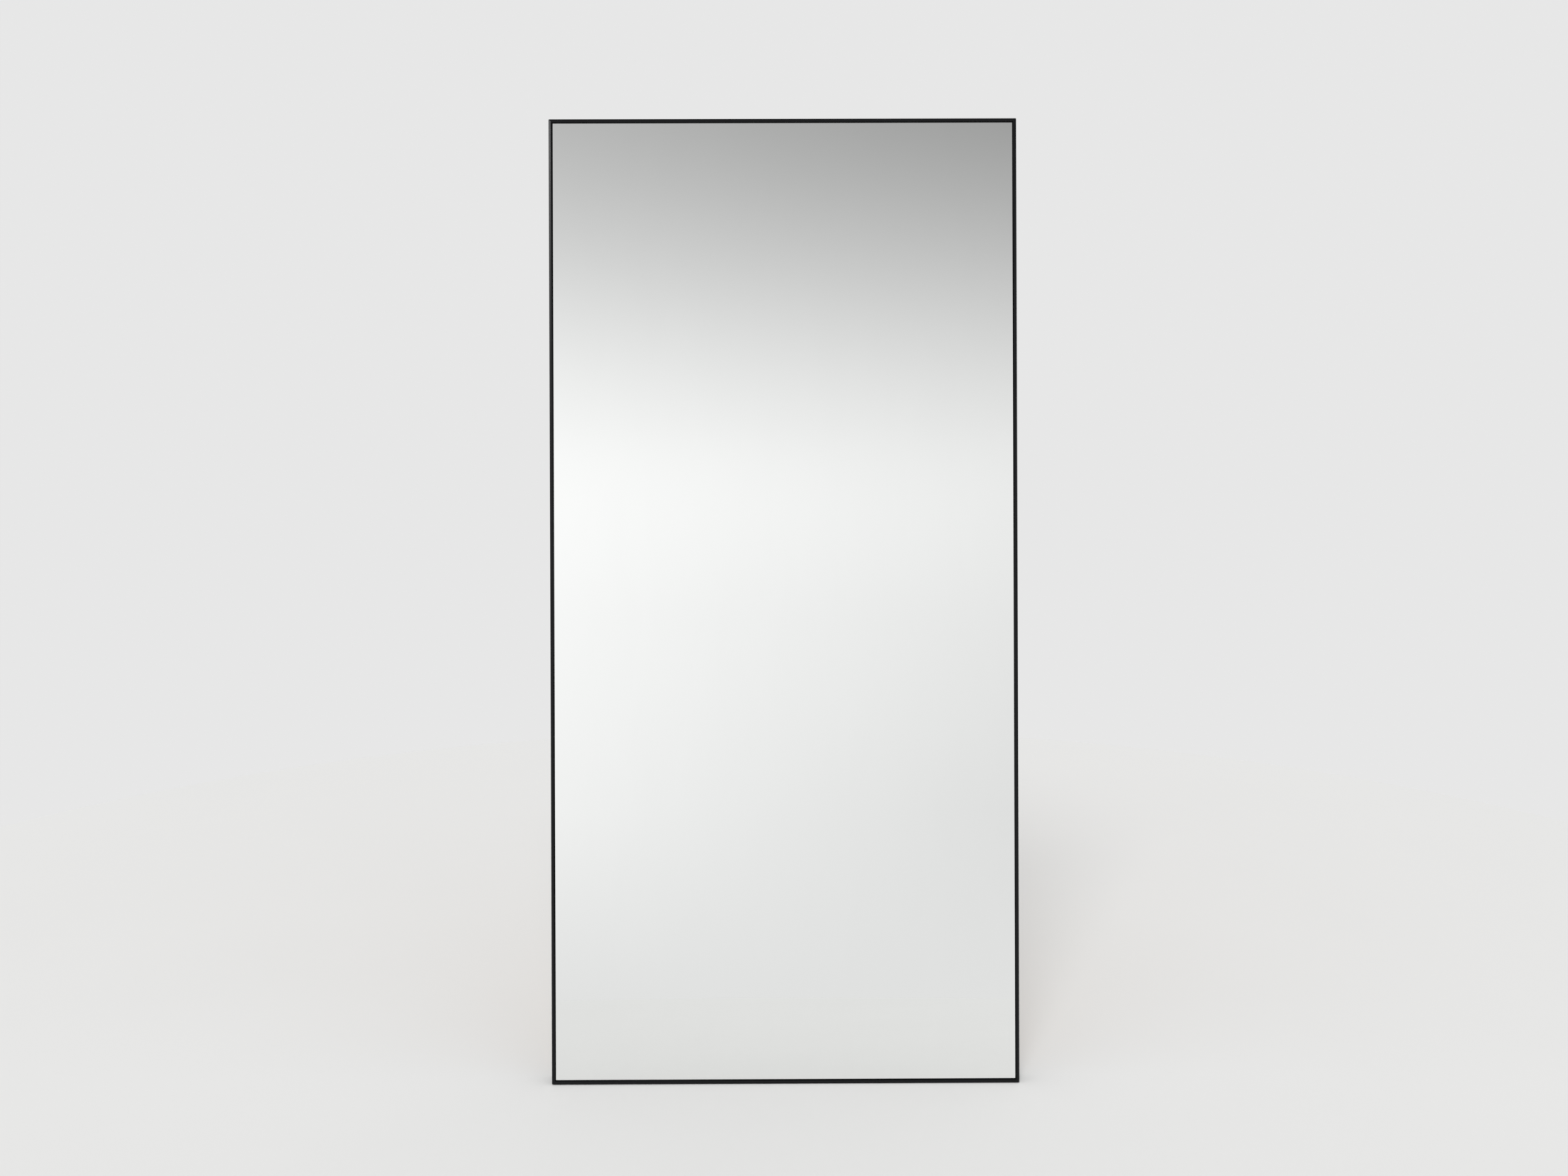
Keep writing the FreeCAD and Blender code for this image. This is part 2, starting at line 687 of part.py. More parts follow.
for side, across_sign in (("left", "-"), ("right", "")):
    insert = new_body(f"tether_insert_{side}")
    section = new_sketch(insert, "section", "XY_Plane")
    draw_outline(section, [
        ("insert_bore / 2", "insert_flange_thickness"),
        ("insert_flange / 2", "insert_flange_thickness"),
        ("insert_flange / 2", "0"),
        ("insert_diameter / 2", "0"),
        ("insert_diameter / 2", "-insert_length"),
        ("insert_bore / 2", "-insert_length")])
    nut = insert.newObject("PartDesign::Revolution", f"{insert.Name}_nut")
    nut.Profile = section
    nut.ReferenceAxis = (section, ["V_Axis"])
    nut.Angle = 360
    doc.recompute()
    back, up = leaned_place("batten_back", "batten_centre")
    keep(insert, "-lean_angle", (f"{across_sign}insert_spread / 2", back, up))


# Screws. Each is drawn once about its own Y axis, with the shank along -Y, then copied.

def turned(outline):
    """An eight-sided solid about the Y axis through the radii at places along it."""
    rings = []
    for radius, along in outline:
        corners = [Vector(radius * cos(radians(angle)), along, radius * sin(radians(angle)))
                   for angle in EIGHTHS]
        rings.append(Part.makePolygon(corners + corners[:1]))
    return Part.makeLoft(rings, True, True)


def screw_shape(length, head):
    shank = number("shank_diameter / 2")
    tip = -number(length)
    point = [(shank, tip + shank), (shank / 4, tip)]
    if head == "sunk":
        return turned([(number("sunk_head_radius"), 0), (shank, -number("sunk_head_depth"))] + point)
    rim, high = number("pan_head_diameter / 2"), number("pan_head_height")
    dome = turned([(rim * 2 / 3, high), (rim, high / 2), (rim, 0)])
    return dome.fuse(turned([(shank, 0)] + point))


def screw_group(label, length, head, places, turns=(0,)):
    """Copies of one screw at places (across, depth, up). The turns are about Z, and are taken
    in step with the places where there are as many."""
    screw = screw_shape(length, head)
    copies = []
    for index, place in enumerate(places):
        turn = Rotation(Vector(0, 0, 1), turns[index % len(turns)])
        copy = screw.copy()
        copy.Placement = FreeCAD.Placement(Vector(*[number(text) for text in place]), turn)
        copies.append(copy)
    group = doc.addObject("Part::Feature", label)
    group.Label = label
    group.Shape = Part.makeCompound(copies)
    keep(group)


screw_group("corner_screws", "key_screw_length", "sunk",
            [(across, "frame_depth", up) for side in SIDES for across, up in key_screw_centres(side)])
screw_group("batten_screws", "board_screw_length", "sunk",
            [(across, "batten_back", up) for across, up in ALL_BOARD_SCREWS])
screw_group("bracket_wood_screws", "short_screw_length", "pan",
            [(across, "batten_back + bracket_thickness", up) for level_sign in ("", "-")
             for across_sign in ("-", "") for across, up in bracket_wood_centres(across_sign, level_sign)])
screw_group("bracket_stile_screws", "short_screw_length", "pan",
            [(f"{across_sign}(stile_inside - bracket_thickness)", BRACKET_SCREW_DEPTH, height)
             for height in BRACKET_SCREW_HEIGHTS for across_sign in ("-", "")],
            turns=(-90, 90))
screw_group("hanger_screws", "short_screw_length", "pan",
            [(across, "batten_back + strap_thickness", up)
             for across_sign in ("-", "") for across, up in hanger_screw_centres(across_sign)])


# Rubber: two pads under the bottom rail, whose undersides are the floor, and two bumpers.

for side, across_sign in (("left", "-"), ("right", "")):
    pad = new_body(f"floor_pad_{side}")
    outline = new_sketch(pad, "outline", "XY_Plane", "pad_thickness / 2")
    draw_outline(outline, rectangle("pad_length / 2", "pad_width / 2"))
    add_feature(pad, "Pad", "block", outline, "pad_thickness")
    soften(pad, "Fillet", "corners", "pad_corner", lambda edge: runs_along(edge, "z"))
    back, _ = leaned_place("(straight_side + frame_depth) / 2", "side_draw / 2 - half_height")
    keep(pad, "0", (f"{across_sign}(half_width - pad_inset - pad_length / 2)", back, "0"))

    bumper = new_body(f"wall_bumper_{side}")
    foot = new_sketch(bumper, "foot", "XZ_Plane", "-(frame_depth + bumper_height / 2)")
    centre = (f"{across_sign}(half_width - bumper_inset)", "half_height - back_wall_centre")
    draw_circles(foot, [centre], "bumper_diameter / 2")
    add_feature(bumper, "Pad", "disc", foot, "bumper_height")
    soften(bumper, "Chamfer", "edge", "bumper_chamfer",
           lambda edge: is_round_at(edge, number("frame_depth + bumper_height")))
    keep(bumper)

# Nothing is written unless every object came out well.
doc.recompute()
for item in doc.Objects:
    if "Invalid" in item.State or "Error" in item.State:
        raise RuntimeError(f"{item.Label} failed: {item.State}")
for item in sub_parts:
    if item.Shape.isNull() or not item.Shape.isValid() or not item.Shape.Solids:
        raise RuntimeError(f"{item.Label} has no sound shape")

os.makedirs("parts", exist_ok=True)
for item in sub_parts:
    item.Shape.exportStep(os.path.join("parts", f"{item.Label}.step"))
    print(f"{item.Label}: {len(item.Shape.Solids)} solids, {item.Shape.Volume:.0f} mm3")
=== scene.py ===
from math import cos, pi, radians, sin

import bmesh
import bpy
from mathutils import Matrix, Vector


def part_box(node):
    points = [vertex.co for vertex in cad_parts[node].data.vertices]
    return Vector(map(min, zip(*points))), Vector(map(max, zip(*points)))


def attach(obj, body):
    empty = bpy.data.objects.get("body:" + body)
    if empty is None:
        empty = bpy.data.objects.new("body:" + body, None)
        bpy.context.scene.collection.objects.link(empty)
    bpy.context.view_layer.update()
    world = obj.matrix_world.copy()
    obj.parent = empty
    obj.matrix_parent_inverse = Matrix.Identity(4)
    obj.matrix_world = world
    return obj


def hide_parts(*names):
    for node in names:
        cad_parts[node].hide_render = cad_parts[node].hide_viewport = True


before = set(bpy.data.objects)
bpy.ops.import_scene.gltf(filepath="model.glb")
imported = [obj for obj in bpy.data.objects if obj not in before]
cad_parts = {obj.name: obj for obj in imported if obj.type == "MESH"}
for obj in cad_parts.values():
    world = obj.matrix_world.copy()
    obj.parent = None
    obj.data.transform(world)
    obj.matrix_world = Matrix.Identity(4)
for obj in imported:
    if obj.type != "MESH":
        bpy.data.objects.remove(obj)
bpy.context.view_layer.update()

# A tall leaning floor mirror: mirror glass in a slim black aluminium frame, seen from the front.
# Metres, +Z up. The glass faces -Y and leans back, with its top toward +Y.


# ---------------------------------------------------------------------------------------------
# Frame sides. Each is an aluminium extrusion with a narrow crowned face, a lip over the glass
# and a hollow at the back. It is mitred at both ends and powder-coated satin black, and cast
# keys in the hollow hold the four corners together.

LEAN = radians(9)
TO_BACK = Vector((0, cos(LEAN), -sin(LEAN)))
TO_TOP = Vector((0, sin(LEAN), cos(LEAN)))
HALF_WIDTH = 0.457
HALF_HEIGHT = 0.943
EASED_EDGE = 0.00025
MITRE_EDGE = 0.00008
NEAR_CORNER = 0.008
SMALL_EDGE = 0.003
SHARP_ANGLE = radians(30)
SMOOTH_ANGLE = radians(35)
FLAT_ANGLE = radians(0.5)
SAME_PLACE = 1e-6
DIAGONAL, DIAGONAL_SLACK = cos(pi / 4), 0.01


def linear(hex_colour):
    """An sRGB hex colour as Blender's linear red, green, blue and alpha."""
    parts = [int(hex_colour[start:start + 2], 16) / 255 for start in (1, 3, 5)]
    return [part / 12.92 if part <= 0.04045 else ((part + 0.055) / 1.055) ** 2.4
            for part in parts] + [1.0]


def add_node(tree, kind, sockets=None, **settings):
    """Adds a node of a kind, or takes one that is there, and gives it its settings. Each socket
    named gets a value, or a link from another socket."""
    node = tree.nodes.new(kind) if isinstance(kind, str) else kind
    for name, setting in settings.items():
        setattr(node, name, setting)
    for name, given in (sockets or {}).items():
        if isinstance(given, bpy.types.NodeSocket):
            tree.links.new(given, node.inputs[name])
        else:
            node.inputs[name].default_value = given
    return node


def begin_material(name):
    """A new material: itself, its node tree, its shader, and where each point of a piece is."""
    material = bpy.data.materials.new(name)
    material.use_nodes = True
    tree = material.node_tree
    place = add_node(tree, "ShaderNodeTexCoord").outputs["Object"]
    return material, tree, tree.nodes["Principled BSDF"], place


# Polyester powder coat on aluminium, sprayed and baked. The film levels out to a satin black
# skin with a fine orange peel of about 1 mm, and its gloss drifts a little from place to place.
powder_coat, tree, shader, place = begin_material("satin_black_powder_coat")
peel = add_node(tree, "ShaderNodeTexNoise", {"Vector": place, "Scale": 850.0, "Detail": 2.0})
drift = add_node(tree, "ShaderNodeTexNoise", {"Vector": place, "Scale": 14.0, "Detail": 4.0})
film = add_node(tree, "ShaderNodeMix", {"Factor": drift.outputs["Fac"], 6: linear("#090a0b"),
                                        7: linear("#111215")}, data_type="RGBA")
gloss = add_node(tree, "ShaderNodeMapRange", {"Value": drift.outputs["Fac"], "From Min": 0.3,
                                              "From Max": 0.7, "To Min": 0.27, "To Max": 0.34})
skin = add_node(tree, "ShaderNodeBump", {"Height": peel.outputs["Fac"], "Strength": 0.1,
                                         "Distance": 0.00005})
add_node(tree, shader, {"Base Color": film.outputs[2], "Roughness": gloss.outputs["Result"],
                        "Normal": skin.outputs["Normal"], "IOR": 1.5,
                        "Specular IOR Level": 0.18})


def sharp_edges(shape, is_left_out=None):
    """The edges of a shape where its faces meet at more than the sharp angle."""
    return [edge for edge in shape.edges
            if len(edge.link_faces) == 2 and edge.calc_face_angle() > SHARP_ANGLE
            and not (is_left_out and is_left_out(edge))]


def ease(shape, edges, radius, steps):
    """Rounds some edges of a shape over."""
    bmesh.ops.bevel(shape, geom=edges, offset=radius, segments=steps, profile=0.5,
                    affect="EDGES", clamp_overlap=False)


def merged_copy(node):
    """The shape of a CAD piece with its loose triangles joined into whole faces."""
    shape = bmesh.new()
    shape.from_mesh(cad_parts[node].data)
    bmesh.ops.remove_doubles(shape, verts=shape.verts, dist=SAME_PLACE)
    bmesh.ops.dissolve_limit(shape, angle_limit=FLAT_ANGLE, verts=shape.verts,
                             edges=shape.edges)
    return shape


def settled_mesh(made):
    """The shape that an object has with its modifiers applied."""
    graph = bpy.context.evaluated_depsgraph_get()
    return bpy.data.meshes.new_from_object(made.evaluated_get(graph))


def finish_piece(name, shape, material, replaced, body="root"):
    """Makes a piece of a shape, with smooth rounds, that stands for some CAD pieces. Its large
    faces keep their own shading, and only the small ones between them turn it."""
    drawn = bpy.data.meshes.new(f"{name}_drawn")
    shape.to_mesh(drawn)
    shape.free()
    drawn.shade_smooth()
    drawn.set_sharp_from_angle(angle=SMOOTH_ANGLE)
    piece = bpy.data.objects.new(name, drawn)
    bpy.context.scene.collection.objects.link(piece)
    flat_faces = piece.modifiers.new("flat_faces", "WEIGHTED_NORMAL")
    flat_faces.mode = "FACE_AREA"
    flat_faces.keep_sharp = True
    piece.data = settled_mesh(piece)
    piece.data.name = name
    piece.modifiers.clear()
    bpy.data.meshes.remove(drawn)
    return settle_piece(piece, material, replaced, body)


def settle_piece(piece, material, replaced, body="root"):
    """Gives a finished piece its material and says what it rides on and stands for."""
    if material:
        piece.data.materials.clear()
        piece.data.materials.append(material)
    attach(piece, body)
    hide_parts(*replaced)
    return piece


def is_mitre(face):
    """Whether a face lies at 45 degrees to both the width and the height of the mirror."""
    across, up = abs(face.normal.x), abs(face.normal.dot(TO_TOP))
    return abs(across - DIAGONAL) < DIAGONAL_SLACK and abs(up - DIAGONAL) < DIAGONAL_SLACK


middle = Vector((0, *(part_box("mirror_glass")[0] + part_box("mirror_glass")[1]).yz / 2))


def is_small_and_inside(edge):
    """Whether an edge is a short one away from the frame's corners, as round a screw hole."""
    centre = (edge.verts[0].co + edge.verts[1].co) / 2
    from_side = HALF_WIDTH - abs(centre.x)
    from_end = HALF_HEIGHT - abs((centre - middle).dot(TO_TOP))
    at_corner = from_side < NEAR_CORNER and from_end < NEAR_CORNER
    return edge.calc_length() < SMALL_EDGE and not at_corner


def is_on_mitre_or_hole(edge):
    """Whether an edge stays sharp at first: on a mitre, or at a hole."""
    return is_small_and_inside(edge) or any(is_mitre(face) for face in edge.link_faces)


coated_sides = {}
for side in ("top_rail", "bottom_rail", "left_stile", "right_stile"):
    shape = merged_copy(side)
    ease(shape, sharp_edges(shape, is_on_mitre_or_hole), EASED_EDGE, 2)
    shape.normal_update()
    mitre_rim = [edge for edge in shape.edges
                 if [is_mitre(face) for face in edge.link_faces].count(True) == 1]
    ease(shape, mitre_rim, MITRE_EDGE, 1)
    coated_sides[side] = finish_piece(f"{side}_coated", shape, powder_coat,
                                      [side])


# ---------------------------------------------------------------------------------------------
# Corner keys. Four L-shaped zinc die castings fill the hollow where two frame sides meet. They
# are hidden inside the frame, and the corner screws bite into them from the back.

# Zinc die casting, as cast: dull grey metal with the fine pitted skin of the die.
zinc_casting, tree, shader, place = begin_material("zinc_die_casting")
pits = add_node(tree, "ShaderNodeTexNoise", {"Vector": place, "Scale": 1400.0, "Detail": 4.0})
cast_grey = add_node(tree, "ShaderNodeMix", {"Factor": pits.outputs["Fac"], 6: linear("#8c8f92"),
                                             7: linear("#a7aaac")}, data_type="RGBA")
cast_skin = add_node(tree, "ShaderNodeBump", {"Height": pits.outputs["Fac"], "Strength": 0.4,
                                              "Distance": 0.0001})
add_node(tree, shader, {"Base Color": cast_grey.outputs[2], "Metallic": 1.0, "Roughness": 0.5,
                        "Normal": cast_skin.outputs["Normal"]})


def coat_cad_pieces(material, *nodes):
    """Gives a material to CAD pieces whose own shape is right as it is."""
    for node in nodes:
        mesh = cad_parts[node].data
        mesh.materials.clear()
        mesh.materials.append(material)


coat_cad_pieces(zinc_casting, *[f"corner_key_{level}_{side}"
                                for level in ("top", "bottom") for side in ("left", "right")])


# ---------------------------------------------------------------------------------------------
# Glazing gasket. Four lengths of black EPDM lie behind the lip and show a thin dark line
# between the metal and the glass. Two blocks of the same rubber carry the glass below.

# Extruded EPDM rubber: matt, almost without reflection, with a fine drawn grain.
gasket_rubber, tree, shader, place = begin_material("matt_epdm_rubber")
bloom = add_node(tree, "ShaderNodeTexNoise", {"Vector": place, "Scale": 300.0, "Detail": 5.0})
matt_black = add_node(tree, "ShaderNodeMix", {"Factor": bloom.outputs["Fac"],
                                              6: linear("#030303"), 7: linear("#0a0a0a")},
                      data_type="RGBA")
drawn = add_node(tree, "ShaderNodeBump", {"Height": bloom.outputs["Fac"], "Strength": 0.3,
                                          "Distance": 0.0001})
add_node(tree, shader, {"Base Color": matt_black.outputs[2], "Roughness": 0.85,
                        "Normal": drawn.outputs["Normal"], "Specular IOR Level": 0.12})
coat_cad_pieces(gasket_rubber, *[f"gasket_{side}" for side in ("top", "bottom", "left", "right")],
                "setting_block_left", "setting_block_right")


# ---------------------------------------------------------------------------------------------
# Mirror glass. One sheet of 5 mm float glass, silvered on its back, with flat ground edges that
# the frame hides. The silver gives a clear, nearly neutral reflection of the whole room.

FACES_STRAIGHT = 0.99

# Silvered float glass: a sharp mirror with the faintest green of the glass, behind a polished
# surface. A hand-wiped film, far too thin to see straight on, softens it by a hair.
silver, tree, shader, place = begin_material("silvered_float_glass")
wiped = add_node(tree, "ShaderNodeMapping", {"Vector": place, "Scale": (9.0, 3.0, 3.0)})
film = add_node(tree, "ShaderNodeTexNoise", {"Vector": wiped.outputs["Vector"], "Scale": 1.5,
                                             "Detail": 6.0, "Distortion": 0.6})
haze = add_node(tree, "ShaderNodeMapRange", {"Value": film.outputs["Fac"], "From Min": 0.45,
                                             "From Max": 0.8, "To Min": 0.0, "To Max": 0.014})
tint = add_node(tree, "ShaderNodeMix", {"Factor": film.outputs["Fac"], 6: linear("#f8f9f8"),
                                        7: linear("#f6f7f6")}, data_type="RGBA")
add_node(tree, shader, {"Base Color": tint.outputs[2], "Metallic": 1.0,
                        "Roughness": haze.outputs["Result"]})

# Ground float glass edge: dark green, frosted by the grinding wheel.
ground_edge, tree, shader, place = begin_material("ground_glass_edge")
grit = add_node(tree, "ShaderNodeTexNoise", {"Vector": place, "Scale": 2500.0, "Detail": 2.0})
green = add_node(tree, "ShaderNodeMix", {"Factor": grit.outputs["Fac"], 6: linear("#3d6a5c"),
                                         7: linear("#6f9486")}, data_type="RGBA")
frosted = add_node(tree, "ShaderNodeBump", {"Height": grit.outputs["Fac"], "Strength": 0.3,
                                            "Distance": 0.00005})
add_node(tree, shader, {"Base Color": green.outputs[2], "Roughness": 0.45, "IOR": 1.52,
                        "Normal": frosted.outputs["Normal"]})

# Mirror backing paint: a flowed-on grey-brown coat over the silver, with slight streaks.
backing_paint, tree, shader, place = begin_material("mirror_backing_paint")
flow = add_node(tree, "ShaderNodeMapping", {"Vector": place, "Scale": (120.0, 6.0, 6.0)})
streaks = add_node(tree, "ShaderNodeTexNoise", {"Vector": flow.outputs["Vector"], "Scale": 1.0,
                                                "Detail": 3.0})
paint = add_node(tree, "ShaderNodeMix", {"Factor": streaks.outputs["Fac"],
                                         6: linear("#5f625c"), 7: linear("#6e716a")},
                 data_type="RGBA")
add_node(tree, shader, {"Base Color": paint.outputs[2], "Roughness": 0.5})

shape = merged_copy("mirror_glass")
sheet = finish_piece("mirror_glass_silvered", shape, silver, ["mirror_glass"])
sheet.data.materials.append(ground_edge)
sheet.data.materials.append(backing_paint)
for face in sheet.data.polygons:
    toward_back = face.normal.dot(TO_BACK)
    face.material_index = (2 if toward_back > FACES_STRAIGHT
                           else 1 if toward_back > -FACES_STRAIGHT else 0)
    face.use_smooth = False


# ---------------------------------------------------------------------------------------------
# Foam tapes. Five strips of white closed-cell tape bond the glass to the board and take up the
# unevenness between them. They are hidden.

# Closed-cell polyethylene foam: chalky white with cells of about half a millimetre.
foam, tree, shader, place = begin_material("closed_cell_foam")
cells = add_node(tree, "ShaderNodeTexVoronoi", {"Vector": place, "Scale": 1900.0})
chalk = add_node(tree, "ShaderNodeMix", {"Factor": cells.outputs["Distance"],
                                         6: linear("#d9d9d5"), 7: linear("#f2f2ee")},
                 data_type="RGBA")
bubbles = add_node(tree, "ShaderNodeBump", {"Height": cells.outputs["Distance"],
                                            "Strength": 0.5, "Distance": 0.0002})
add_node(tree, shader, {"Base Color": chalk.outputs[2], "Roughness": 0.9,
                        "Normal": bubbles.outputs["Normal"]})
coat_cad_pieces(foam, "foam_tapes")


# ---------------------------------------------------------------------------------------------
# Backing board. A 6 mm sheet of raw medium-density fibreboard carries the glass on its tapes.
# It closes the back of the channel, and shows over most of the mirror's back.

# Raw MDF: pressed wood fibre, evenly brown from a distance. Close up it is flecked with light
# and dark fibres a millimetre or two long, over slow clouds where the mat was denser.
fibreboard, tree, shader, place = begin_material("raw_fibreboard")
mat = add_node(tree, "ShaderNodeTexNoise", {"Vector": place, "Scale": 9.0, "Detail": 5.0})
fibres = add_node(tree, "ShaderNodeTexNoise", {"Vector": place, "Scale": 900.0, "Detail": 5.0,
                                               "Distortion": 1.0})
flecks = add_node(tree, "ShaderNodeTexVoronoi", {"Vector": place, "Scale": 520.0},
                  feature="SMOOTH_F1")
ground = add_node(tree, "ShaderNodeMix", {"Factor": mat.outputs["Fac"], 6: linear("#a07c55"),
                                          7: linear("#b8946a")}, data_type="RGBA")
fibre_step = add_node(tree, "ShaderNodeMapRange", {
    "Value": fibres.outputs["Fac"], "From Min": 0.35, "From Max": 0.7, "To Min": 0.0,
    "To Max": 0.5})
fibred = add_node(tree, "ShaderNodeMix", {"Factor": fibre_step.outputs["Result"],
                                          6: ground.outputs[2], 7: linear("#c9a87e")},
                  data_type="RGBA")
fleck_step = add_node(tree, "ShaderNodeMapRange", {
    "Value": flecks.outputs["Distance"], "From Min": 0.1, "From Max": 0.26, "To Min": 0.4,
    "To Max": 0.0})
flecked = add_node(tree, "ShaderNodeMix", {"Factor": fleck_step.outputs["Result"],
                                           6: fibred.outputs[2], 7: linear("#7d5c3b")},
                   data_type="RGBA")
nap = add_node(tree, "ShaderNodeBump", {"Height": fibres.outputs["Fac"], "Strength": 0.3,
                                        "Distance": 0.00015})
add_node(tree, shader, {"Base Color": flecked.outputs[2], "Roughness": 0.82,
                        "Normal": nap.outputs["Normal"], "Specular IOR Level": 0.3})
coat_cad_pieces(fibreboard, "backing_board")


# ---------------------------------------------------------------------------------------------
# Battens. Two planed pine boards, 70 by 12 mm, are screwed across the back to stiffen it. Their
# back edges are rounded over, and the upper one carries the hangers and the tether inserts.

RING_SCALE = 62.0
PITH_BEHIND = 0.055

for batten, pith_up, pith_turn in (("upper_batten", 0.012, 0.35), ("lower_batten", -0.02, -0.5)):
    # Planed pine, sawn near the heart: pale early wood with darker bands of late wood about
    # 5 mm apart, drawn out into long arches by the slow turn of the trunk in the board.
    pine, tree, shader, place = begin_material(f"planed_pine_{batten}")
    low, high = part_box(batten)
    heart = (low + high) / 2 + PITH_BEHIND * TO_BACK + pith_up * TO_TOP
    from_heart = add_node(tree, "ShaderNodeVectorMath", {0: place, 1: tuple(-heart)},
                          operation="ADD")
    turned = add_node(tree, "ShaderNodeMapping", {
        "Vector": from_heart.outputs["Vector"],
        "Rotation": (0.0, radians(pith_turn), radians(pith_turn))})
    rings = add_node(tree, "ShaderNodeTexWave", {
        "Vector": turned.outputs["Vector"], "Scale": RING_SCALE, "Distortion": 7.0,
        "Detail": 2.0, "Detail Scale": 0.06, "Detail Roughness": 0.5},
        wave_type="RINGS", rings_direction="X", wave_profile="SAW")
    stretched = add_node(tree, "ShaderNodeMapping", {"Vector": place,
                                                     "Scale": (7.0, 520.0, 520.0)})
    fibres = add_node(tree, "ShaderNodeTexNoise", {"Vector": stretched.outputs["Vector"],
                                                   "Scale": 1.0, "Detail": 4.0})
    age = add_node(tree, "ShaderNodeTexNoise", {"Vector": place, "Scale": 5.0, "Detail": 2.0})
    late = add_node(tree, "ShaderNodeMapRange", {
        "Value": rings.outputs["Fac"], "From Min": 0.5, "From Max": 0.98, "To Min": 0.0,
        "To Max": 0.8}, interpolation_type="SMOOTHSTEP")
    sap = add_node(tree, "ShaderNodeMix", {"Factor": age.outputs["Fac"], 6: linear("#dcbb88"),
                                           7: linear("#e6cb9f")}, data_type="RGBA")
    banded = add_node(tree, "ShaderNodeMix", {"Factor": late.outputs["Result"],
                                              6: sap.outputs[2], 7: linear("#bd8f5a")},
                      data_type="RGBA")
    fibre_step = add_node(tree, "ShaderNodeMapRange", {
        "Value": fibres.outputs["Fac"], "From Min": 0.4, "From Max": 0.7, "To Min": 0.0,
        "To Max": 0.4})
    planed = add_node(tree, "ShaderNodeMix", {"Factor": fibre_step.outputs["Result"],
                                              6: banded.outputs[2], 7: linear("#a97c4a")},
                      data_type="RGBA")
    satin = add_node(tree, "ShaderNodeMapRange", {"Value": late.outputs["Result"],
                                                  "To Min": 0.62, "To Max": 0.5})
    grain = add_node(tree, "ShaderNodeBump", {"Height": fibres.outputs["Fac"], "Strength": 0.35,
                                              "Distance": 0.00012})
    add_node(tree, shader, {"Base Color": planed.outputs[2],
                            "Roughness": satin.outputs["Result"],
                            "Normal": grain.outputs["Normal"], "Specular IOR Level": 0.35})
    finish_piece(f"{batten}_planed", merged_copy(batten), pine, [batten])


# ---------------------------------------------------------------------------------------------
# Brackets and hanger straps. Pressed steel, bright zinc-plated. Four bent angles tie the ends
# of the battens to the stiles, and two straps curl over the D-rings near the top.

SHEARED_EDGE = 0.00022

# Bright zinc plate with a clear passivation: a soft silver with a faint blue and straw drift,
# and the fine lines that the rolled sheet shows through the plating.
zinc_plate, tree, shader, place = begin_material("bright_zinc_plate")
drift = add_node(tree, "ShaderNodeTexNoise", {"Vector": place, "Scale": 60.0, "Detail": 4.0})
rolled = add_node(tree, "ShaderNodeMapping", {"Vector": place, "Scale": (60.0, 2400.0, 2400.0)})
lines = add_node(tree, "ShaderNodeTexNoise", {"Vector": rolled.outputs["Vector"], "Scale": 1.0,
                                              "Detail": 2.0})
plate = add_node(tree, "ShaderNodeMix", {"Factor": drift.outputs["Fac"], 6: linear("#c3c9d0"),
                                         7: linear("#d3d0c6")}, data_type="RGBA")
brightness = add_node(tree, "ShaderNodeMapRange", {
    "Value": drift.outputs["Fac"], "From Min": 0.3, "From Max": 0.7, "To Min": 0.22,
    "To Max": 0.4})
rolling = add_node(tree, "ShaderNodeBump", {"Height": lines.outputs["Fac"], "Strength": 0.25,
                                            "Distance": 0.00004})
add_node(tree, shader, {"Base Color": plate.outputs[2], "Metallic": 1.0,
                        "Roughness": brightness.outputs["Result"],
                        "Normal": rolling.outputs["Normal"]})


def is_hole_or_curl(edge):
    """Whether an edge is one of the short ones round a hole or along the curl of a strap."""
    return edge.calc_length() < SMALL_EDGE


for node in [f"bracket_{level}_{side}" for level in ("upper", "lower")
             for side in ("left", "right")] + ["hanger_strap_left", "hanger_strap_right"]:
    shape = merged_copy(node)
    ease(shape, sharp_edges(shape, is_hole_or_curl), SHEARED_EDGE, 2)
    finish_piece(f"{node}_plated", shape, zinc_plate, [node])


# ---------------------------------------------------------------------------------------------
# Screws. Cross-recess screws hold the corner keys, the battens, the brackets and the hangers.
# Each is turned about its axis, thread and all, with its top at the origin and its tip below.

SHANK_RADIUS = 0.0015
THREAD_DEPTH = 0.0003
THREAD_PITCH = 0.0012
SCREW_FACETS = 24
RECESS_REACH, RECESS_HALF, RECESS_DEPTH = 0.0018, 0.00045, 0.0013
RECESS_TAPER = 0.4
PAN_HEAD = [(0.0012, -0.00004), (0.0022, -0.0002), (0.0028, -0.0005), (0.0032, -0.001),
            (0.0033, -0.0016), (0.0033, -0.0021), (0.0032, -0.0022)]
SUNK_HEAD = [(0.0029, 0.0), (0.0031, -0.0001), (0.00305, -0.0003)]
PAN_THREAD_TOP, SUNK_THREAD_TOP = -0.0024, -0.0017
PAN_SCREW_TIP, SHORT_SUNK_TIP, LONG_SUNK_TIP = -0.0112, -0.009, -0.016


